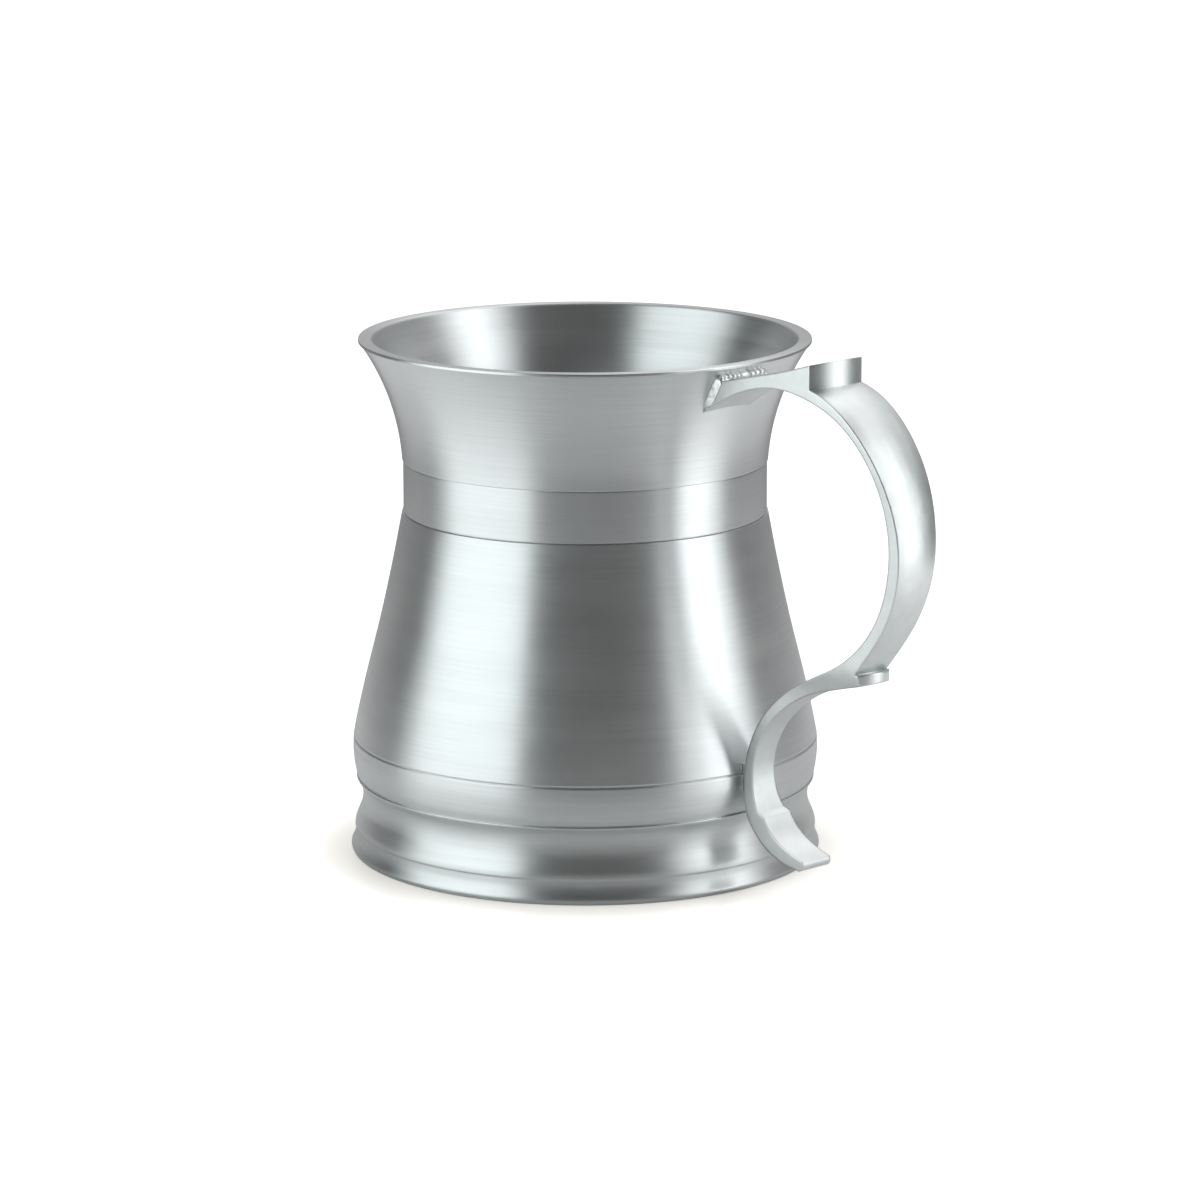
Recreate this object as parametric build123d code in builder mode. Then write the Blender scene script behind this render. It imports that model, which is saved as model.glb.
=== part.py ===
from build123d import *
from math import cos, radians, sin, sqrt
import os

# A lidless one-pint pewter tankard, soldered up from separate castings.
# The frame: millimetres, +Z up the vessel's axis, +X out through the handle,
# and z = 0 in the plane that the foot rests on.

os.makedirs("parts", exist_ok=True)

# ---- driving dimensions ----
rim_height = 114.3
rim_radius = 49.5
lip_depth = 0.8
rim_bore_radius = 46.74
rim_edge_break = 0.15
lip_edge_break = 0.1
bore_edge_break = 0.25
wall = 1.8
throat_radius = 40.0
throat_height = 84.0
flare_radius = 52.2
flare_start_height = 87.6
waist_radius = 39.9
waist_height = 76.2
bore_radius = 38.2

solder_gap = 0.2
spigot_radius = 39.0
spigot_foot = 72.0
belly_top_radius = 40.2
groove_height = 25.7
groove_depth = 0.35
groove_half_width = 0.3
belly_radius = 51.3
belly_lower_radius = 51.35
belly_foot_height = 17.0
belly_foot_radius = 50.5

collar_radius = 48.3
collar_height = 20.0
collar_bore = 46.8
ledge_radius = 45.2
ledge_height = 9.0
foot_radius = 52.0
foot_step_radius = 51.2
foot_step_height = 5.3
foot_band_radius = 51.0
foot_band_height = 4.3
foot_edge_height = 1.2
rest_outer_radius = 51.5
rest_inner_radius = 49.8

plate_radius = 46.6
plate_thickness = 2.0

slab_reach = 10.0
handle_half_width = 7.95
root_half_width = 7.05
thumb_rest_half_width = 8.3
thumb_rest_face = 74.8
thumb_rest_bulge = 3.0
thumb_rest_back = 60.0
scroll_end_half_width = 5.4
scroll_end_face = 86.2
scroll_end_bulge = 2.7
scroll_end_back = 77.0
crown_ratio = 0.15
back_side_allowance = 1.0
back_depth = 3.0
back_overlap = 0.98
tail_half_width = 4.2
tail_top_height = 17.5


def flare_at(height, radius):
    """Radius of the trumpet-shaped neck, for an arc of the given radius."""
    centre = throat_radius + flare_radius
    return centre - sqrt(radius**2 - (height - throat_height)**2)


# ---- neck: lip, flared neck and plain waist band, with a spigot below ----
flare_top = rim_height - lip_depth
inner_arc = flare_radius + wall
inner_tangent_height = 109.0
with BuildPart() as neck_casting:
    with BuildSketch(Plane.XZ):
        with BuildLine():
            Polyline(
                (bore_radius, spigot_foot),
                (spigot_radius, spigot_foot),
                (spigot_radius, waist_height),
                (waist_radius, waist_height),
                (waist_radius, flare_start_height),
                (flare_at(flare_start_height, flare_radius), flare_start_height),
            )
            ThreePointArc(
                (flare_at(flare_start_height, flare_radius), flare_start_height),
                (flare_at(101.0, flare_radius), 101.0),
                (flare_at(flare_top, flare_radius), flare_top),
            )
            Polyline(
                (flare_at(flare_top, flare_radius), flare_top),
                (rim_radius - lip_edge_break, flare_top),
                (rim_radius, flare_top + lip_edge_break),
                (rim_radius, rim_height - rim_edge_break),
                (rim_radius - rim_edge_break, rim_height),
                (rim_bore_radius, rim_height),
                (rim_bore_radius - bore_edge_break, rim_height - 0.35),
                (flare_at(inner_tangent_height, inner_arc), inner_tangent_height),
            )
            ThreePointArc(
                (flare_at(inner_tangent_height, inner_arc), inner_tangent_height),
                (flare_at(98.0, inner_arc), 98.0),
                (bore_radius, throat_height),
            )
            Line((bore_radius, throat_height), (bore_radius, spigot_foot))
        make_face()
    revolve(axis=Axis.Z)
neck_casting.part.label = "neck_casting"
export_step(neck_casting.part, "parts/neck_casting.step")

# ---- belly: socket for the spigot above, plain bottom edge over the collar ----
socket_radius = spigot_radius + solder_gap
socket_floor = spigot_foot - solder_gap
belly_top = waist_height - solder_gap
socket_bottom_radius = collar_radius + solder_gap
with BuildPart() as belly_casting:
    with BuildSketch(Plane.XZ):
        with BuildLine():
            Polyline(
                (bore_radius, socket_floor),
                (socket_radius, socket_floor),
                (socket_radius, belly_top),
                (belly_top_radius, belly_top),
            )
            Spline(
                (belly_top_radius, belly_top),
                (42.3, 65.1),
                (45.05, 52.6),
                (48.7, 38.0),
                (50.45, 30.3),
                (belly_radius, groove_height + groove_half_width),
            )
            Polyline(
                (belly_radius, groove_height + groove_half_width),
                (belly_radius - groove_depth, groove_height),
                (belly_lower_radius, groove_height - groove_half_width),
            )
            Spline(
                (belly_lower_radius, groove_height - groove_half_width),
                (51.42, 22.5),
                (51.0, 18.8),
                (belly_foot_radius, belly_foot_height),
            )
            Polyline(
                (belly_foot_radius, belly_foot_height),
                (socket_bottom_radius, belly_foot_height),
                (socket_bottom_radius, collar_height),
            )
            Spline(
                (socket_bottom_radius, collar_height),
                (49.5, 22.6),
                (49.4, 26.0),
                (48.55, 30.3),
                (46.8, 38.0),
                (43.15, 52.6),
                (40.9, 61.5),
                (bore_radius, socket_floor),
            )
        make_face()
    revolve(axis=Axis.Z)
belly_casting.part.label = "belly_casting"
export_step(belly_casting.part, "parts/belly_casting.step")

# ---- foot: collar inside the belly, hollow moulding, bead and flared base band ----
shoulder_height = belly_foot_height - solder_gap
shoulder_radius = belly_foot_radius + 0.25
shoulder_edge_height = shoulder_height - 0.3
with BuildPart() as foot_casting:
    with BuildSketch(Plane.XZ):
        with BuildLine():
            Polyline(
                (collar_bore, collar_height),
                (collar_radius, collar_height),
                (collar_radius, shoulder_height),
                (shoulder_radius, shoulder_height),
                (shoulder_radius, shoulder_edge_height),
            )
            Spline(
                (shoulder_radius, shoulder_edge_height),
                (49.75, 14.9),
                (49.35, 12.6),
                (49.6, 10.2),
                (50.35, 8.2),
                (51.0, 6.5),
                (foot_step_radius, foot_step_height),
            )
            Polyline(
                (foot_step_radius, foot_step_height),
                (foot_band_radius, foot_step_height - 0.1),
                (foot_band_radius, foot_band_height),
            )
            ThreePointArc(
                (foot_band_radius, foot_band_height),
                (51.4, 2.6),
                (foot_radius, foot_edge_height),
            )
            ThreePointArc(
                (foot_radius, foot_edge_height),
                (51.95, 0.4),
                (rest_outer_radius, 0.0),
            )
            Polyline(
                (rest_outer_radius, 0.0),
                (rest_inner_radius, 0.0),
                (48.5, 5.0),
                (ledge_radius, 7.5),
                (ledge_radius, ledge_height),
                (collar_bore, ledge_height),
                (collar_bore, collar_height),
            )
        make_face()
    revolve(axis=Axis.Z)
foot_casting.part.label = "foot_casting"
export_step(foot_casting.part, "parts/foot_casting.step")

# ---- flat bottom of the cup, dropped onto the foot's ledge ----
plate_top = ledge_height + plate_thickness
with BuildPart() as base_plate:
    with Locations((0, 0, ledge_height)):
        Cylinder(
            plate_radius,
            plate_thickness,
            align=(Align.CENTER, Align.CENTER, Align.MIN),
        )
base_plate.part.label = "base_plate"
export_step(base_plate.part, "parts/base_plate.step")

# ---- solder in the three turned joints ----
seam_outer_radius = waist_radius - 0.1
with BuildPart() as neck_seam_solder:
    with BuildSketch(Plane.XZ):
        with BuildLine():
            Polyline(
                (bore_radius, socket_floor),
                (socket_radius, socket_floor),
                (socket_radius, belly_top),
                (seam_outer_radius, belly_top),
                (seam_outer_radius, waist_height),
                (spigot_radius, waist_height),
                (spigot_radius, spigot_foot),
                (bore_radius, spigot_foot),
                close=True,
            )
        make_face()
    revolve(axis=Axis.Z)
neck_seam_solder.part.label = "neck_seam_solder"
export_step(neck_seam_solder.part, "parts/neck_seam_solder.step")

seam_outer_radius_below = belly_foot_radius - 0.1
with BuildPart() as foot_seam_solder:
    with BuildSketch(Plane.XZ):
        with BuildLine():
            Polyline(
                (collar_radius, collar_height),
                (socket_bottom_radius, collar_height),
                (socket_bottom_radius, belly_foot_height),
                (seam_outer_radius_below, belly_foot_height),
                (seam_outer_radius_below, shoulder_height),
                (collar_radius, shoulder_height),
                close=True,
            )
        make_face()
    revolve(axis=Axis.Z)
foot_seam_solder.part.label = "foot_seam_solder"
export_step(foot_seam_solder.part, "parts/foot_seam_solder.step")

fillet_leg = 1.4
fillet_middle = 0.45
with BuildPart() as base_plate_solder:
    with BuildSketch(Plane.XZ):
        with BuildLine():
            Polyline(
                (collar_bore, plate_top + fillet_leg),
                (collar_bore, ledge_height),
                (plate_radius, ledge_height),
                (plate_radius, plate_top),
                (collar_bore - fillet_leg, plate_top),
            )
            ThreePointArc(
                (collar_bore - fillet_leg, plate_top),
                (collar_bore - fillet_middle, plate_top + fillet_middle),
                (collar_bore, plate_top + fillet_leg),
            )
        make_face()
    revolve(axis=Axis.Z)
base_plate_solder.part.label = "base_plate_solder"
export_step(base_plate_solder.part, "parts/base_plate_solder.step")

# ---- handle: one casting, a strap, an open C and a reversed lower scroll ----
# The inner edge runs from the root under the rim, round the C, to the tail.
inner_edge = [
    (42.4, 103.2),
    (48.9, 107.1),
    (56.4, 110.2),
    (64.9, 111.65),
    (73.8, 110.65),
    (81.25, 107.9),
    (87.6, 103.1),
    (92.3, 96.7),
    (95.1, 89.3),
    (95.95, 81.5),
    (94.95, 73.75),
    (92.15, 66.4),
    (87.55, 59.95),
    (81.4, 54.85),
    (74.1, 51.15),
    (66.5, 47.1),
    (59.9, 41.9),
    (55.1, 35.3),
    (52.7, 28.0),
    (52.9, 21.6),
    (55.3, 15.6),
    (60.2, 10.9),
    (68.9, 8.2),
]
# The near-side arris of the C's back, and half its width there.
back_stations = [
    (72.1, 112.95, 8.0),
    (76.6, 112.25, 8.0),
    (83.2, 109.05, 7.9),
    (89.15, 103.85, 7.6),
    (93.8, 97.55, 7.1),
    (97.2, 89.85, 6.35),
    (98.6, 81.5, 5.8),
    (97.65, 73.0, 5.5),
    (94.4, 65.1, 5.35),
    (89.55, 57.95, 5.05),
    (85.3, 52.5, 4.8),
]
core_line = [
    (74.4, 111.8),
    (82.3, 108.5),
    (88.4, 103.5),
    (93.05, 97.1),
    (96.15, 89.6),
    (97.25, 81.5),
    (96.3, 73.4),
    (93.3, 65.8),
    (86.3, 56.0),
]
scroll_centre = (66.0, 81.5)
bar_cut = [
    (
        scroll_centre[0] + (x - scroll_centre[0]) * back_overlap,
        scroll_centre[1] + (z - scroll_centre[1]) * back_overlap,
    )
    for x, z in core_line
]
lower_strap_back = [
    (75.9, 48.1),
    (71.2, 46.4),
    (62.6, 41.0),
    (56.7, 33.3),
    (55.1, 26.0),
    (56.9, 19.4),
    (57.5, 18.5),
]
tail_back = [(59.3, 17.7), (61.6, 14.6), (65.6, 12.0), (70.8, 10.2)]
strap_top = [(66.5, 115.4), (54.2, 112.5), (45.6, 110.5)]

# thumb rest: a block with a bowed upright face
with BuildPart() as thumb_rest:
    with BuildSketch(Plane.XZ):
        with BuildLine():
            Polyline(
                (thumb_rest_back, 112.8),
                (thumb_rest_back, 113.0),
                (66.5, 115.4),
                (thumb_rest_face, 117.8),
                (79.0, 119.0),
                (79.0, 110.8),
                (72.0, 112.0),
                close=True,
            )
        make_face()
    extrude(amount=slab_reach, both=True)
    with BuildSketch(Plane.XY.offset(105.0)):
        with BuildLine():
            ThreePointArc(
                (thumb_rest_face, -thumb_rest_half_width),
                (thumb_rest_face + thumb_rest_bulge, 0),
                (thumb_rest_face, thumb_rest_half_width),
            )
            Polyline(
                (thumb_rest_face, thumb_rest_half_width),
                (thumb_rest_back, thumb_rest_half_width),
                (thumb_rest_back, -thumb_rest_half_width),
                (thumb_rest_face, -thumb_rest_half_width),
            )
        make_face()
    extrude(amount=15.0, mode=Mode.INTERSECT)

# crowned back of the C: a tapering bar with a bowed face, cut away inside its core line
with BuildPart() as crowned_back:
    with BuildLine(Plane.XZ):
        arris = Spline(*[(x, z) for x, z, half in back_stations])
    for x, z, half in back_stations:
        spot = Vector(x, 0, z)
        along = arris % arris.param_at_point(spot)
        crown = crown_ratio * half
        bar_radius = (half**2 + crown**2) / (2 * crown)
        reach = half + back_side_allowance
        drop = crown - bar_radius + sqrt(bar_radius**2 - reach**2)
        station = Plane(origin=spot, x_dir=(0, 1, 0), z_dir=along)
        with BuildSketch(station):
            with BuildLine():
                ThreePointArc((-reach, drop), (0, crown), (reach, drop))
                Polyline((reach, drop), (reach, -back_depth), (-reach, -back_depth), (-reach, drop))
            make_face()
    loft()
    with BuildSketch(Plane.XZ):
        with BuildLine():
            Spline(*bar_cut)
            Polyline(
                bar_cut[-1],
                (82.0, 51.6),
                (86.0, 45.0),
                (120.0, 45.0),
                (120.0, 125.0),
                (66.0, 125.0),
                (66.0, 112.4),
                bar_cut[0],
            )
        make_face()
    extrude(amount=2 * slab_reach, both=True, mode=Mode.INTERSECT)

# scroll end of the C: a short block with the same bowed face
with BuildPart() as scroll_end:
    with BuildSketch(Plane.XZ):
        with BuildLine():
            Polyline(
                (78.0, 48.8),
                (90.0, 51.9),
                (90.0, 54.1),
                (83.0, 53.0),
                (80.0, 52.0),
                close=True,
            )
        make_face()
    extrude(amount=slab_reach, both=True)
    with BuildSketch(Plane.XY.offset(45.0)):
        with BuildLine():
            ThreePointArc(
                (scroll_end_face, -scroll_end_half_width),
                (scroll_end_face + scroll_end_bulge, 0),
                (scroll_end_face, scroll_end_half_width),
            )
            Polyline(
                (scroll_end_face, scroll_end_half_width),
                (scroll_end_back, scroll_end_half_width),
                (scroll_end_back, -scroll_end_half_width),
                (scroll_end_face, -scroll_end_half_width),
            )
        make_face()
    extrude(amount=15.0, mode=Mode.INTERSECT)

with BuildPart() as handle_casting:
    add(thumb_rest.part)
    add(crowned_back.part)
    add(scroll_end.part)
    # the rest of the scroll, as one slab
    with BuildSketch(Plane.XZ):
        with BuildLine():
            Spline(*inner_edge)
            ThreePointArc(inner_edge[-1], (71.0, 8.9), tail_back[-1])
            Spline(*reversed(tail_back))
            Line(tail_back[0], lower_strap_back[-1])
            Spline(*reversed(lower_strap_back))
            Polyline(lower_strap_back[0], (84.8, 50.6), core_line[-1])
            Spline(*reversed(core_line))
            Polyline(core_line[0], (74.0, 114.0), (67.0, 114.0), *strap_top, inner_edge[0])
        make_face()
    extrude(amount=slab_reach, both=True)

    # taper of the width, seen from the front and from above
    with BuildSketch(Plane.YZ):
        with BuildLine():
            Polyline((0, 125.0), (handle_half_width, 125.0), (handle_half_width, 109.5))
            Spline(
                (handle_half_width, 109.5),
                (7.4, 101.4),
                (6.7, 93.2),
                (5.95, 84.4),
                (5.5, 75.6),
                (5.05, 59.3),
                (4.9, 53.0),
                (3.8, 48.0),
                (3.3, 40.0),
                (3.25, 28.0),
                (3.7, 21.5),
                (tail_half_width, tail_top_height),
            )
            Polyline(
                (tail_half_width, tail_top_height),
                (tail_half_width, 0.0),
                (0, 0),
                (0, 125.0),
            )
        make_face()
        mirror(about=Plane.YZ)
    extrude(amount=150.0, mode=Mode.INTERSECT)
    with BuildSketch(Plane.XY):
        with BuildLine():
            Polyline(
                (30.0, -root_half_width),
                (46.0, -root_half_width),
                (thumb_rest_face, -handle_half_width),
                (120.0, -handle_half_width),
                (120.0, handle_half_width),
                (thumb_rest_face, handle_half_width),
                (46.0, root_half_width),
                (30.0, root_half_width),
                close=True,
            )
        make_face()
    extrude(amount=150.0, mode=Mode.INTERSECT)
    # the root is filed to sit on the neck
    add(neck_casting.part, mode=Mode.SUBTRACT)
handle_casting.part.label = "handle_casting"
export_step(handle_casting.part, "parts/handle_casting.step")

# ---- solder that holds the handle ----
root_height = 107.5
root_slope = 26.7
fillet_inset = 1.0
fillet_rise = 1.6
root_plane = Plane(
    origin=(flare_at(root_height, flare_radius), 0, root_height),
    x_dir=(0, 1, 0),
    z_dir=(cos(radians(root_slope)), 0, -sin(radians(root_slope))),
)
with BuildPart() as upper_handle_solder:
    with BuildSketch(root_plane.offset(-fillet_inset)):
        with Locations((0, 0.1)):
            RectangleRounded(15.3, 10.5, 1.0)
    with BuildSketch(root_plane.offset(fillet_rise)):
        with Locations((0, 1.6)):
            RectangleRounded(14.6, 6.6, 0.6)
    loft()
    add(neck_casting.part, mode=Mode.SUBTRACT)
    add(handle_casting.part, mode=Mode.SUBTRACT)
upper_handle_solder.part.label = "upper_handle_solder"
export_step(upper_handle_solder.part, "parts/upper_handle_solder.step")

with BuildPart() as lower_handle_solder:
    with Locations((51.6, 0, 24.8)):
        Box(3.4, 5.0, 6.4)
    add(belly_casting.part, mode=Mode.SUBTRACT)
    add(handle_casting.part, mode=Mode.SUBTRACT)
lower_handle_solder.part.label = "lower_handle_solder"
export_step(lower_handle_solder.part, "parts/lower_handle_solder.step")
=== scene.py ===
import math

import bmesh
import bpy
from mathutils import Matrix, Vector, noise

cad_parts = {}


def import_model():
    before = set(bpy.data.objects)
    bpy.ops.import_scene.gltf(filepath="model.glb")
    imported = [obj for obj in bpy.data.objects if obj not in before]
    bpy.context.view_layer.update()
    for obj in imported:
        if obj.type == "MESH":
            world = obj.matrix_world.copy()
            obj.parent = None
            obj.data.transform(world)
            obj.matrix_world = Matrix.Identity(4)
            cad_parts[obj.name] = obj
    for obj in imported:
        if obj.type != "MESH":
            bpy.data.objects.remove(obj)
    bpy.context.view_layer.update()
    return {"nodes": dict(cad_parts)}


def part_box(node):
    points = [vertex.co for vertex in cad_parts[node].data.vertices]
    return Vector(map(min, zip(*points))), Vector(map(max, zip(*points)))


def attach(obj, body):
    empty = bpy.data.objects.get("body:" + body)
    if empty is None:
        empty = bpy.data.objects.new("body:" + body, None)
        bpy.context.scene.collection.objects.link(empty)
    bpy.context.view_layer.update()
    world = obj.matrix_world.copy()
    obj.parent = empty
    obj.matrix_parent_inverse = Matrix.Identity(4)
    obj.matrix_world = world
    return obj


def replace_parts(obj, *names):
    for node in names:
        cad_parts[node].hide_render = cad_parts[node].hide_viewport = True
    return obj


# A turned and soldered pewter tankard, shown on a plain pale floor in soft studio light.
# Metres throughout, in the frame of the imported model: +Z up, +X out through the handle.

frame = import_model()

MM = 0.001
BODY = "root"
WHITE = (1.0, 1.0, 1.0)
# Tint of the painted reflection of the foot on the floor.
PAINTED_REFLECTION_TINT = (1.0, 0.95, 0.86)
COOL_WHITE = (0.97, 1.0, 1.0)
COOLER_WHITE = (0.93, 1.0, 0.99)
BOX_HEIGHT = 1.6
BOX_CENTRE_Z = 0.45
NEAR_FLOOR = 0.34
FAR_FLOOR = 6.0


# ---------------------------------------------------------------- small tools
def new_object(name, mesh, material):
    """A smooth-shaded piece with one material, riding on the tankard's only body."""
    obj = bpy.data.objects.new(name, mesh)
    bpy.context.scene.collection.objects.link(obj)
    mesh.materials.clear()
    mesh.materials.append(material)
    for polygon in mesh.polygons:
        polygon.use_smooth = True
    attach(obj, BODY)
    return obj


def spline(points, step=0.5):
    """Points on a smooth curve through the given (radius, height) points, about one step apart."""
    before_first = (2 * points[0][0] - points[1][0], 2 * points[0][1] - points[1][1])
    after_last = (2 * points[-1][0] - points[-2][0], 2 * points[-1][1] - points[-2][1])
    knots = [before_first] + list(points) + [after_last]
    out = []
    for i in range(1, len(knots) - 2):
        a, b, c, d = (Vector(knots[i + k]) for k in (-1, 0, 1, 2))
        count = max(2, round((c - b).length / step))
        span = [max((q - p).length, 1e-6) ** 0.5 for p, q in ((a, b), (b, c), (c, d))]
        enter = ((b - a) / span[0] - (c - a) / (span[0] + span[1]) + (c - b) / span[1]) * span[1]
        leave = ((c - b) / span[1] - (d - b) / (span[1] + span[2]) + (d - c) / span[2]) * span[1]
        for k in range(count):
            t = k / count
            h00, h10 = 2 * t**3 - 3 * t**2 + 1, t**3 - 2 * t**2 + t
            h01, h11 = -2 * t**3 + 3 * t**2, t**3 - t**2
            out.append(tuple(b * h00 + enter * h10 + c * h01 + leave * h11))
    return out + [tuple(points[-1])]


def corner(before, here, after, radius):
    """Six points round a corner, kept within the two sides that meet there."""
    back = min(radius, 0.45 * (before - here).length)
    on = min(radius, 0.45 * (after - here).length)
    start = here + (before - here).normalized() * back
    end = here + (after - here).normalized() * on
    steps = [k / 5 for k in range(6)]
    return [start * (1 - t) ** 2 + here * 2 * t * (1 - t) + end * t**2 for t in steps]


def soften(outline, radii, step=0.45):
    """A closed outline with its marked corners rounded and its long sides divided."""
    rounded = []
    for i, point in enumerate(outline):
        here = Vector(point)
        if i in radii:
            before, after = Vector(outline[i - 1]), Vector(outline[(i + 1) % len(outline)])
            rounded += corner(before, here, after, radii[i])
        else:
            rounded.append(here)
    divided = []
    for i, here in enumerate(rounded):
        after = rounded[(i + 1) % len(rounded)]
        parts = max(1, math.ceil((after - here).length / step))
        divided += [here.lerp(after, k / parts) for k in range(parts)]
    return divided


def lathe(name, outline, material, segments):
    """A closed ring turned about Z from a closed (radius, height) outline in millimetres."""
    mesh = bpy.data.meshes.new(name)
    shape = bmesh.new()
    rings = []
    for k in range(segments):
        angle = 2 * math.pi * k / segments
        c, s = math.cos(angle), math.sin(angle)
        rings.append([shape.verts.new((p[0] * c * MM, p[0] * s * MM, p[1] * MM)) for p in outline])
    count = len(outline)
    for k in range(segments):
        near, far = rings[k], rings[(k + 1) % segments]
        for i in range(count):
            j = (i + 1) % count
            shape.faces.new((near[i], near[j], far[j], far[i]))
    bmesh.ops.recalc_face_normals(shape, faces=shape.faces)
    shape.to_mesh(mesh)
    shape.free()
    return new_object(name, mesh, material)


def working_copy(node, edit):
    """A passing object with the CAD node's mesh, after edit(shape) has changed it."""
    work = bpy.data.objects.new(node + "_work", frame["nodes"][node].data.copy())
    bpy.context.scene.collection.objects.link(work)
    shape = bmesh.new()
    shape.from_mesh(work.data)
    edit(shape)
    shape.to_mesh(work.data)
    shape.free()
    return work


def finished_mesh(work, name):
    """The working object's mesh with its modifiers applied. The object itself goes."""
    evaluated = work.evaluated_get(bpy.context.evaluated_depsgraph_get())
    mesh = bpy.data.meshes.new_from_object(evaluated)
    bpy.data.objects.remove(work)
    mesh.name = name
    return mesh


def beaded_copy(node, name, voxel, passes, material, push, edit):
    """The CAD node's own shape, softened all over, and each point moved by push(point, normal)."""
    work = working_copy(node, edit)
    remesh = work.modifiers.new("remesh", "REMESH")
    remesh.mode = "VOXEL"
    remesh.voxel_size = voxel
    remesh.use_smooth_shade = True
    smooth = work.modifiers.new("smooth", "SMOOTH")
    smooth.factor = 0.5
    smooth.iterations = passes
    mesh = finished_mesh(work, name)
    moves = [push(v.co, v.normal) for v in mesh.vertices]
    for vertex, move in zip(mesh.vertices, moves):
        vertex.co = vertex.co + move
    obj = new_object(name, mesh, material)
    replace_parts(obj, node)


def as_it_is(shape):
    """No edit."""


def joined_flats(shape):
    """Faces that share their edges, with the seams inside flat faces taken out."""
    bmesh.ops.remove_doubles(shape, verts=shape.verts, dist=0.001 * MM)
    bmesh.ops.dissolve_limit(shape, angle_limit=math.radians(0.5), verts=shape.verts, edges=shape.edges)


def bevelled_copy(node, name, width, material):
    """The CAD node's own faces, with every sharp edge broken by a narrow bevel."""
    work = working_copy(node, joined_flats)
    for polygon in work.data.polygons:
        polygon.use_smooth = True
    bevel = work.modifiers.new("bevel", "BEVEL")
    bevel.width = width
    bevel.segments = 3
    bevel.limit_method = "ANGLE"
    bevel.angle_limit = math.radians(30.0)
    weigh = work.modifiers.new("weigh", "WEIGHTED_NORMAL")
    weigh.keep_sharp = False
    weigh.weight = 50
    obj = new_object(name, finished_mesh(work, name), material)
    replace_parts(obj, node)


# ---------------------------------------------------------------- materials
def node_maker(tree):
    """A short way to add a node, set its values and join its inputs."""

    def make(kind, inputs=None, **settings):
        node = tree.nodes.new("ShaderNode" + kind)
        for key, value in settings.items():
            setattr(node, key, value)
        for key, value in (inputs or {}).items():
            if isinstance(value, bpy.types.NodeSocket):
                tree.links.new(value, node.inputs[key])
            else:
                node.inputs[key].default_value = value
        return node

    return make


def metal(name, base, roughness, anisotropic=0.0):
    """An empty metal material, its shader and its node maker."""
    material = bpy.data.materials.new(name)
    material.use_nodes = True
    material.node_tree.nodes.clear()
    make = node_maker(material.node_tree)
    shader = make("BsdfPrincipled", {
        "Base Color": (*base, 1.0),
        "Metallic": 1.0,
        "Roughness": roughness,
        "Anisotropic": anisotropic,
    })
    output = make("OutputMaterial", {"Surface": shader.outputs["BSDF"]})
    output.target = "ALL"
    return material, shader, make


def ramp(make, factor, low, high, value_low, value_high):
    """Maps a factor between two limits to a value between two others."""
    node = make("MapRange", {
        "Value": factor,
        "From Min": low,
        "From Max": high,
        "To Min": value_low,
        "To Max": value_high,
    })
    return node.outputs["Result"]


def tinted(make, factor, dark, light):
    """A colour between two, by a factor from 0 to 1."""
    node = make("Mix", {"Factor": factor}, data_type="RGBA")
    node.inputs["A"].default_value = (*dark, 1.0)
    node.inputs["B"].default_value = (*light, 1.0)
    return node.outputs["Result"]


def turned_pewter():
    """Satin metal with fine lines left by the lathe, which smear reflections along the wall."""
    material, shader, make = metal("turned_pewter", (0.74, 0.755, 0.76), 0.385, 0.78)
    tree = material.node_tree
    place = make("TexCoord").outputs["Object"]
    axes = make("SeparateXYZ", {"Vector": place})
    across = make("CombineXYZ", {"X": axes.outputs["X"], "Y": axes.outputs["Y"]})
    radius = make("VectorMath", {0: across.outputs["Vector"]}, operation="LENGTH").outputs["Value"]
    along = make("Math", {0: axes.outputs["Z"], 1: radius}, operation="ADD").outputs["Value"]

    def lines(period, drift):
        x = make("Math", {0: axes.outputs["X"], 1: 1 / drift}, operation="MULTIPLY")
        y = make("Math", {0: axes.outputs["Y"], 1: 1 / drift}, operation="MULTIPLY")
        s = make("Math", {0: along, 1: 1 / period}, operation="MULTIPLY")
        at = make("CombineXYZ", {
            "X": x.outputs["Value"], "Y": y.outputs["Value"], "Z": s.outputs["Value"],
        })
        found = make("TexNoise", {
            "Vector": at.outputs["Vector"],
            "Scale": 1.0,
            "Detail": 3.0,
            "Roughness": 0.6,
        })
        return found.outputs["Fac"]

    fine = lines(0.45 * MM, 30 * MM)
    coarse = lines(2.4 * MM, 60 * MM)
    cloud = make("TexNoise", {"Vector": place, "Scale": 45.0, "Detail": 4.0}).outputs["Fac"]
    height = make("Math", {0: fine, 1: coarse}, operation="ADD").outputs["Value"]
    bump = make("Bump", {"Height": height, "Strength": 0.07, "Distance": 0.02 * MM})
    tree.links.new(bump.outputs["Normal"], shader.inputs["Normal"])
    rough = make("Math", {
        0: ramp(make, coarse, 0.3, 0.7, -0.02, 0.02),
        1: ramp(make, cloud, 0.3, 0.7, 0.365, 0.405),
    }, operation="ADD")
    tree.links.new(rough.outputs["Value"], shader.inputs["Roughness"])
    tone = make("Math", {0: fine, 1: cloud}, operation="MULTIPLY").outputs["Value"]
    colour = tinted(make, ramp(make, tone, 0.1, 0.4, 0.0, 1.0), (0.69, 0.705, 0.715), (0.76, 0.775, 0.78))
    tree.links.new(colour, shader.inputs["Base Color"])
    tangent = make("Tangent", direction_type="RADIAL", axis="Z")
    tree.links.new(tangent.outputs["Tangent"], shader.inputs["Tangent"])
    shader.inputs["Anisotropic Rotation"].default_value = 0.25
    return material


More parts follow.
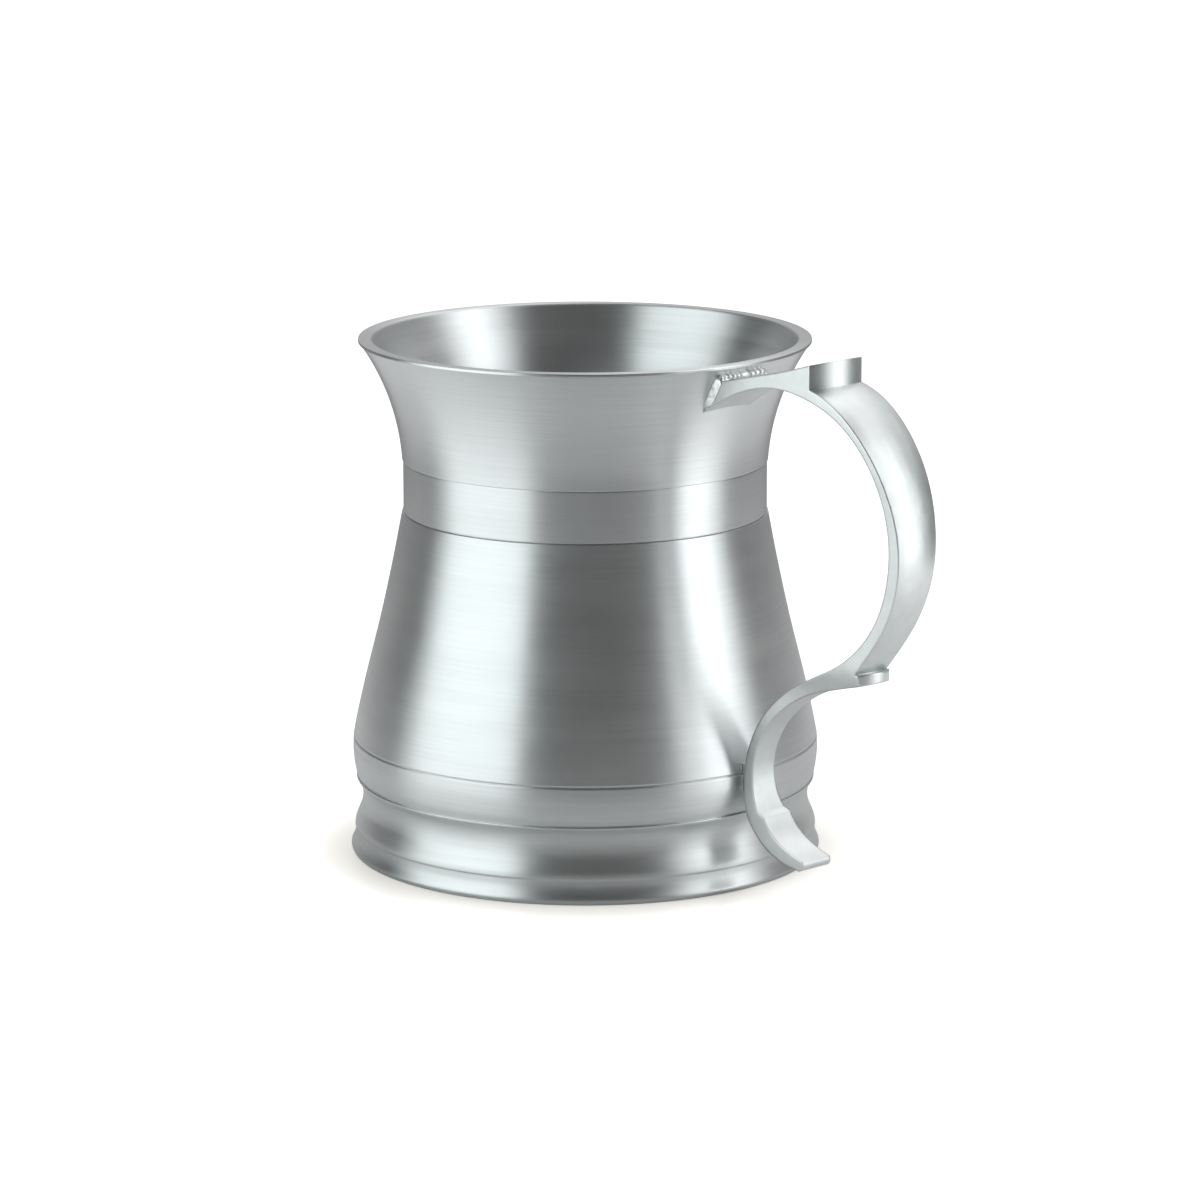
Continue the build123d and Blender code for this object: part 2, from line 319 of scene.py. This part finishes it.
def cast_pewter():
    """Satin casting, filed and rubbed down by hand, so without a direction."""
    material, shader, make = metal("cast_pewter", (0.78, 0.795, 0.795), 0.39)
    tree = material.node_tree
    place = make("TexCoord").outputs["Object"]
    skin = make("TexNoise", {"Vector": place, "Scale": 1400.0, "Detail": 4.0}).outputs["Fac"]
    dents = make("TexNoise", {"Vector": place, "Scale": 260.0, "Detail": 3.0}).outputs["Fac"]
    cloud = make("TexNoise", {"Vector": place, "Scale": 60.0, "Detail": 3.0}).outputs["Fac"]
    height = make("Math", {0: skin, 1: dents}, operation="ADD").outputs["Value"]
    worn = make("Bevel", {"Radius": 0.60 * MM}, samples=8).outputs["Normal"]
    bump = make("Bump", {"Height": height, "Strength": 0.16, "Distance": 0.05 * MM, "Normal": worn})
    tree.links.new(bump.outputs["Normal"], shader.inputs["Normal"])
    tree.links.new(ramp(make, cloud, 0.3, 0.7, 0.35, 0.42), shader.inputs["Roughness"])
    colour = tinted(make, ramp(make, dents, 0.3, 0.7, 0.0, 1.0), (0.71, 0.73, 0.73), (0.77, 0.79, 0.79))
    tree.links.new(colour, shader.inputs["Base Color"])
    return material


def bright_solder():
    """Soft solder as it froze: brighter than the pewter, lumpy, with a few pits."""
    material, shader, make = metal("solder", (0.85, 0.865, 0.86), 0.36)
    tree = material.node_tree
    place = make("TexCoord").outputs["Object"]
    lumps = make("TexNoise", {"Vector": place, "Scale": 420.0, "Detail": 3.0}).outputs["Fac"]
    bump = make("Bump", {"Height": lumps, "Strength": 0.6, "Distance": 0.2 * MM})
    tree.links.new(bump.outputs["Normal"], shader.inputs["Normal"])
    tree.links.new(ramp(make, lumps, 0.3, 0.7, 0.30, 0.42), shader.inputs["Roughness"])
    return material


turned = turned_pewter()
cast = cast_pewter()
solder = bright_solder()


# ---------------------------------------------------------------- turned body
def in_mm(node):
    """A node's lowest and highest corners, in millimetres."""
    low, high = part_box(node)
    return low / MM, high / MM


neck_low, neck_high = in_mm("neck_casting")
belly_low, belly_high = in_mm("belly_casting")
root_low, root_high = in_mm("upper_handle_solder")

# Millimetres. R is a radius, Z a height, and FLARE the radius of the neck's arc.
RIM_R = 49.5
RIM_Z = neck_high.z
LIP_Z = RIM_Z - 0.8
LAND_R = 46.74
FLARE = 52.2
FLARE_Z = 87.6
THROAT_R = 40.0
THROAT_Z = 84.0
WALL = 1.8
WAIST_R = 39.9
WAIST_Z = in_mm("neck_seam_solder")[1].z
BORE_R = 38.2
SPIGOT_R = 39.0
SOCKET_R = 39.2
SOCKET_Z = 71.8
BELLY_CUT_Z = 25.7
COLLAR_R = 48.3
COLLAR_Z = in_mm("foot_casting")[1].z
COLLAR_SOCKET_R = 48.5
SHOULDER_Z = 16.8
PLATE_SEAT_R = 46.8
PLATE_LEDGE_R = 45.2
PLATE_LEDGE_Z = 9.0


def flare_at(height, radius):
    """Radius of the neck's arc, or of the arc parallel to it inside the wall."""
    return THROAT_R + FLARE - math.sqrt(radius**2 - (height - THROAT_Z) ** 2)


def flare(first, last, radius, step=0.5):
    """Points along the neck's arc between two heights."""
    count = max(2, round(abs(last - first) / step))
    heights = [first + (last - first) * k / count for k in range(count + 1)]
    return [(flare_at(z, radius), z) for z in heights]


def joined(parts):
    """One closed outline from stretches of points, each with the radius its corners are rounded to."""
    outline, radii = [], {}
    for points, radius in parts:
        for point in points:
            if radius:
                radii[len(outline)] = radius
            outline.append(point)
    return soften(outline, radii)


def neck():
    outline = joined([
        ([(BORE_R, neck_low.z)], 0.1),
        ([(SPIGOT_R, neck_low.z)], 0.1),
        ([(SPIGOT_R, WAIST_Z)], 0),
        ([(WAIST_R, WAIST_Z)], 0.12),
        ([(WAIST_R, FLARE_Z - 0.30)], 0.12),
        ([(WAIST_R - 0.12, FLARE_Z - 0.10)], 0),
        ([(flare_at(FLARE_Z, FLARE), FLARE_Z)], 0.1),
        (flare(FLARE_Z + 0.3, LIP_Z - 0.25, FLARE), 0),
        ([(flare_at(LIP_Z, FLARE) + 0.02, LIP_Z)], 0.08),
        ([(RIM_R, LIP_Z + 0.1)], 0.15),
        ([(RIM_R, RIM_Z)], 0.22),
        ([(LAND_R, RIM_Z)], 0.25),
        ([(LAND_R - 0.34, RIM_Z - 0.4)], 0.2),
        (flare(109.0, THROAT_Z, FLARE + WALL), 0),
    ])
    turned_piece("neck", "neck_casting", outline)


def belly():
    outer = spline([
        (40.2, belly_high.z - 0.15), (42.3, 65.1), (45.05, 52.6),
        (48.7, 38.0), (50.45, 30.3), (51.3, BELLY_CUT_Z + 0.28),
    ])
    lower = spline([(51.35, BELLY_CUT_Z - 0.28), (51.42, 22.5), (51.0, 18.8), (50.52, belly_low.z + 0.12)])
    inner = spline([
        (COLLAR_SOCKET_R, COLLAR_Z), (49.5, 22.6), (49.4, 26.0), (48.55, 30.3),
        (46.8, 38.0), (43.15, 52.6), (40.9, 61.5), (BORE_R, SOCKET_Z),
    ])
    outline = joined([
        ([(SOCKET_R, SOCKET_Z), (SOCKET_R, belly_high.z)], 0),
        ([(40.16, belly_high.z)], 0.12),
        (outer, 0),
        ([(50.98, BELLY_CUT_Z)], 0.1),
        (lower, 0),
        ([(50.46, belly_low.z)], 0.1),
        ([(COLLAR_SOCKET_R, belly_low.z)], 0),
        (inner, 0),
    ])
    turned_piece("belly", "belly_casting", outline)


def foot():
    moulding = spline([
        (50.72, SHOULDER_Z - 0.35), (49.75, 14.9), (49.35, 12.6), (49.6, 10.2),
        (50.35, 8.2), (50.98, 6.5), (51.12, 5.42),
    ], 0.4)
    band = spline([(51.0, 4.9), (51.08, 3.8), (51.4, 2.6), (51.95, 1.35)], 0.3)
    outline = joined([
        ([(PLATE_SEAT_R, COLLAR_Z)], 0.1),
        ([(COLLAR_R, COLLAR_Z)], 0.1),
        ([(COLLAR_R, SHOULDER_Z)], 0),
        ([(50.75, SHOULDER_Z)], 0.15),
        (moulding, 0),
        ([(51.0, 5.24)], 0.12),
        (band, 0),
        ([(52.0, 0.9)], 0.3),
        ([(51.6, 0.0)], 0.35),
        ([(49.8, 0.0)], 0.3),
        ([(48.5, 5.0)], 0.8),
        ([(PLATE_LEDGE_R, 7.5)], 0.3),
        ([(PLATE_LEDGE_R, PLATE_LEDGE_Z)], 0.1),
        ([(PLATE_SEAT_R, PLATE_LEDGE_Z)], 0),
    ])
    turned_piece("foot", "foot_casting", outline)


def turned_piece(name, node, outline):
    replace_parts(lathe(name, outline, turned, 256), node)


def seam_ring(name, node, outline):
    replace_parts(lathe(name, soften(outline, {}, 0.3), solder, 192), node)


def seams():
    """Solder drawn into the joints, a little below the surface, as it is after turning."""
    neck_outer = WAIST_R - 0.35
    seam_ring("neck_seam", "neck_seam_solder", [
        (BORE_R, SOCKET_Z), (SOCKET_R, SOCKET_Z), (SOCKET_R, belly_high.z), (neck_outer, belly_high.z),
        (neck_outer, WAIST_Z), (SPIGOT_R, WAIST_Z), (SPIGOT_R, neck_low.z), (BORE_R, neck_low.z),
    ])
    foot_outer = 50.35
    seam_ring("foot_seam", "foot_seam_solder", [
        (COLLAR_R, COLLAR_Z), (COLLAR_SOCKET_R, COLLAR_Z), (COLLAR_SOCKET_R, belly_low.z),
        (foot_outer, belly_low.z), (foot_outer, SHOULDER_Z), (COLLAR_R, SHOULDER_Z),
    ])


neck()
belly()
foot()
seams()


# ---------------------------------------------------------------- handle and solder
def lumpy(point, normal):
    """Solder frozen in beads."""
    beads = noise.noise(point * 520.0) * 0.12 + noise.noise(point * 1300.0) * 0.06
    return normal * (beads * MM)


def thin_below(point, normal):
    """Beads as well, but drawn thin against the neck below the arm."""
    depth = max(0.0, 1.0 - (point.z / MM - root_low.z) / 3.0)
    outward = Vector((point.x, point.y, 0.0)).normalized()
    return lumpy(point, normal) - outward * (1.5 * depth * MM)


def top_bead(shape):
    """An uneven bead of solder along the corner between the neck and the top of the arm."""
    level = root_high.z - 0.5
    reach = flare_at(level, FLARE) + 0.5
    sides, steps = 12, 48
    rings = []
    for k in range(steps + 1):
        y = root_low.y + 0.5 + (root_high.y - root_low.y - 2.0) * k / steps
        x = math.sqrt(reach**2 - y**2)
        end = 0.35 if k in (0, steps) else 1.0
        radius = (0.75 + 0.30 * noise.noise(Vector((y * 0.8, 3.0, 0.0)))) * end
        ring = []
        for i in range(sides):
            turn = 2 * math.pi * i / sides
            ring.append(shape.verts.new((
                (x + radius * math.cos(turn)) * MM, y * MM, (level + radius * math.sin(turn)) * MM,
            )))
        rings.append(ring)
    for near, far in zip(rings, rings[1:]):
        for i in range(sides):
            j = (i + 1) % sides
            shape.faces.new((near[i], near[j], far[j], far[i]))
    shape.faces.new(rings[0][::-1])
    shape.faces.new(rings[-1])
    bmesh.ops.recalc_face_normals(shape, faces=shape.faces)


bevelled_copy("handle_casting", "handle", 0.15 * MM, cast)
beaded_copy("upper_handle_solder", "upper_solder", 0.14 * MM, 8, solder, thin_below, top_bead)
beaded_copy("lower_handle_solder", "lower_solder", 0.14 * MM, 12, solder, lumpy, as_it_is)

for node, material in (
    ("base_plate", turned),
    ("base_plate_solder", solder),
):
    mesh = frame["nodes"][node].data
    mesh.materials.clear()
    mesh.materials.append(material)


# ---------------------------------------------------------------- camera
CAMERA_AZIMUTH = math.radians(46.0)
CAMERA_ELEVATION = math.radians(12.27)
CAMERA_DISTANCE = 1.11285
LENS = 151.39
AIM_RIGHT = 0.00326
AIM_UP = -0.00168

towards = Vector((
    math.sin(CAMERA_AZIMUTH) * math.cos(CAMERA_ELEVATION),
    -math.cos(CAMERA_AZIMUTH) * math.cos(CAMERA_ELEVATION),
    math.sin(CAMERA_ELEVATION),
))
right = Vector((math.cos(CAMERA_AZIMUTH), math.sin(CAMERA_AZIMUTH), 0.0))
above = towards.cross(right)
centre = Vector((0.0, 0.0, RIM_Z * MM / 2))

camera_data = bpy.data.cameras.new("camera")
camera_data.lens = LENS
camera_data.sensor_width = 36.0
camera_data.clip_start = 0.05
camera = bpy.data.objects.new("camera", camera_data)
bpy.context.scene.collection.objects.link(camera)
camera.location = centre + towards * CAMERA_DISTANCE + right * AIM_RIGHT + above * AIM_UP
camera.rotation_euler = (-towards).to_track_quat("-Z", "Y").to_euler()
bpy.context.scene.camera = camera
bpy.context.scene.view_settings.view_transform = "Standard"


# ---------------------------------------------------------------- studio
front = Vector((math.sin(CAMERA_AZIMUTH), -math.cos(CAMERA_AZIMUTH), 0.0))


def around(degrees):
    """A level direction, turned from the camera's side of the object towards its right."""
    angle = math.radians(degrees)
    return front * math.cos(angle) + right * math.sin(angle)


def panel(name, degrees, distance, width, power, colour):
    """A soft box standing upright and facing the object. Its power is in watts."""
    data = bpy.data.lights.new(name, "AREA")
    data.shape = "RECTANGLE"
    data.size = width
    data.size_y = BOX_HEIGHT
    data.energy = power
    data.color = colour
    lamp = bpy.data.objects.new(name, data)
    bpy.context.scene.collection.objects.link(lamp)
    lamp.location = around(degrees) * distance + Vector((0, 0, BOX_CENTRE_Z))
    lamp.rotation_euler = (-around(degrees)).to_track_quat("-Z", "Y").to_euler()
    lamp.visible_camera = False


def circle(shape, radius, segments=128):
    """Vertices of a level circle on the floor."""
    turns = [2 * math.pi * k / segments for k in range(segments)]
    return [shape.verts.new((radius * math.cos(a), radius * math.sin(a), 0.0)) for a in turns]


def staged(name, shape, material):
    """A piece of the floor."""
    mesh = bpy.data.meshes.new(name)
    shape.to_mesh(mesh)
    shape.free()
    mesh.materials.append(material)
    obj = bpy.data.objects.new(name, mesh)
    bpy.context.scene.collection.objects.link(obj)
    return obj


def floor():
    """White to the camera and dimmer to the metal. To the metal it has painted light, brighter towards the
    left and right lamps, and painted shade, darker close round the foot. To the camera it has a painted
    contact shadow and reflection round the foot, darker and warm-tinted.
    """
    material = bpy.data.materials.new("pale_floor")
    material.use_nodes = True
    tree = material.node_tree
    make = node_maker(tree)
    shader = tree.nodes["Principled BSDF"]
    shader.inputs["Base Color"].default_value = (0.60, 0.60, 0.60, 1.0)
    shader.inputs["Roughness"].default_value = 0.35
    seen = make("LightPath").outputs["Is Camera Ray"]
    place = make("TexCoord").outputs["Object"]
    sideways = make("VectorMath", {0: place, 1: tuple(right)}, operation="DOT_PRODUCT").outputs["Value"]
    # Painted light: the floor seen in the metal glows brighter towards the left and right lamps.
    painted_light_left = ramp(make, sideways, -0.05, -0.25, 0.0, 0.30)
    painted_light_right = ramp(make, sideways, 0.08, 0.25, 0.0, 0.40)
    sides = make("Math", {0: painted_light_left, 1: painted_light_right}, operation="ADD").outputs["Value"]
    glow_with_painted_side_light = make("Math", {0: sides, 1: 0.19}, operation="ADD").outputs["Value"]
    distance = make("VectorMath", {0: place}, operation="LENGTH").outputs["Value"]
    # Painted shade: the floor seen in the metal is darkened close round the foot, where a contact shadow
    # would fall.
    clear = ramp(make, distance, 0.050, 0.078, 0.10, 1.0)
    own = make("Math", {0: glow_with_painted_side_light, 1: clear}, operation="MULTIPLY").outputs["Value"]
    # Painted contact shadow and reflection: to the camera the floor is darker and warm-tinted close round
    # the foot.
    painted_contact = ramp(make, distance, 0.0515, 0.066, 1.0, 0.0)
    shown = ramp(make, painted_contact, 0.0, 1.0, 0.90, 0.45)
    strength = make("Mix", {"Factor": seen, "A": own, "B": shown}, data_type="FLOAT")
    tree.links.new(strength.outputs["Result"], shader.inputs["Emission Strength"])
    warm = tinted(make, painted_contact, WHITE, PAINTED_REFLECTION_TINT)
    tree.links.new(warm, shader.inputs["Emission Color"])
    near_shape = bmesh.new()
    near_shape.faces.new(circle(near_shape, NEAR_FLOOR))
    staged("floor_near", near_shape, material)
    far_shape = bmesh.new()
    inner, outer = circle(far_shape, NEAR_FLOOR), circle(far_shape, FAR_FLOOR)
    for k in range(len(inner)):
        j = (k + 1) % len(inner)
        far_shape.faces.new((inner[k], outer[k], outer[j], inner[j]))
    far = staged("floor_far", far_shape, material)
    far.visible_glossy = False
    far.visible_shadow = False


def world():
    """A dim room: darkest behind the camera, paler at the back, and white where the camera looks."""
    room = bpy.data.worlds.new("room")
    bpy.context.scene.world = room
    room.use_nodes = True
    tree = room.node_tree
    tree.nodes.clear()
    make = node_maker(tree)
    way = make("TexCoord").outputs["Generated"]
    flat = make("VectorMath", {0: way, 1: (1.0, 1.0, 0.0)}, operation="MULTIPLY").outputs["Vector"]
    level = make("VectorMath", {0: flat}, operation="NORMALIZE").outputs["Vector"]
    facing = make("VectorMath", {0: level, 1: tuple(-front)}, operation="DOT_PRODUCT").outputs["Value"]
    height = make("SeparateXYZ", {"Vector": way}).outputs["Z"]
    back = ramp(make, facing, 0.35, 1.0, 0.06, 0.30)
    raised = ramp(make, height, 0.25, 0.85, 0.0, 1.45)
    rear_right = tuple(around(132.0))
    turned_to = make("VectorMath", {0: level, 1: rear_right}, operation="DOT_PRODUCT").outputs["Value"]
    behind = ramp(make, turned_to, 0.55, 0.90, 0.02, 0.85)
    ceiling = make("Math", {0: raised, 1: behind}, operation="MULTIPLY").outputs["Value"]
    low = ramp(make, height, 0.05, 0.25, 0.0, 0.28)
    straight = ramp(make, facing, 0.75, 0.98, 0.0, 1.0)
    sweep = make("Math", {0: low, 1: straight}, operation="MULTIPLY").outputs["Value"]
    above_back = make("Math", {0: ceiling, 1: sweep}, operation="ADD").outputs["Value"]
    glow = make("Math", {0: back, 1: above_back}, operation="ADD").outputs["Value"]
    seen = make("LightPath").outputs["Is Camera Ray"]
    strength = make("Mix", {"Factor": seen}, data_type="FLOAT")
    tree.links.new(glow, strength.inputs["A"])
    strength.inputs["B"].default_value = 1.0
    light = make("Background", {"Color": (1.0, 1.0, 1.0, 1.0), "Strength": strength.outputs["Result"]})
    make("OutputWorld", {"Surface": light.outputs["Background"]})


panel("left_soft_box", -61.8, 0.85, 0.93, 7.1, COOLER_WHITE)
panel("left_edge", -94.5, 0.85, 0.17, 0.55, COOLER_WHITE)
panel("right_soft_box", 70.0, 0.95, 0.84, 4.5, COOL_WHITE)
panel("right_strip", 72.0, 0.85, 0.34, 1.6, COOL_WHITE)
floor()
world()
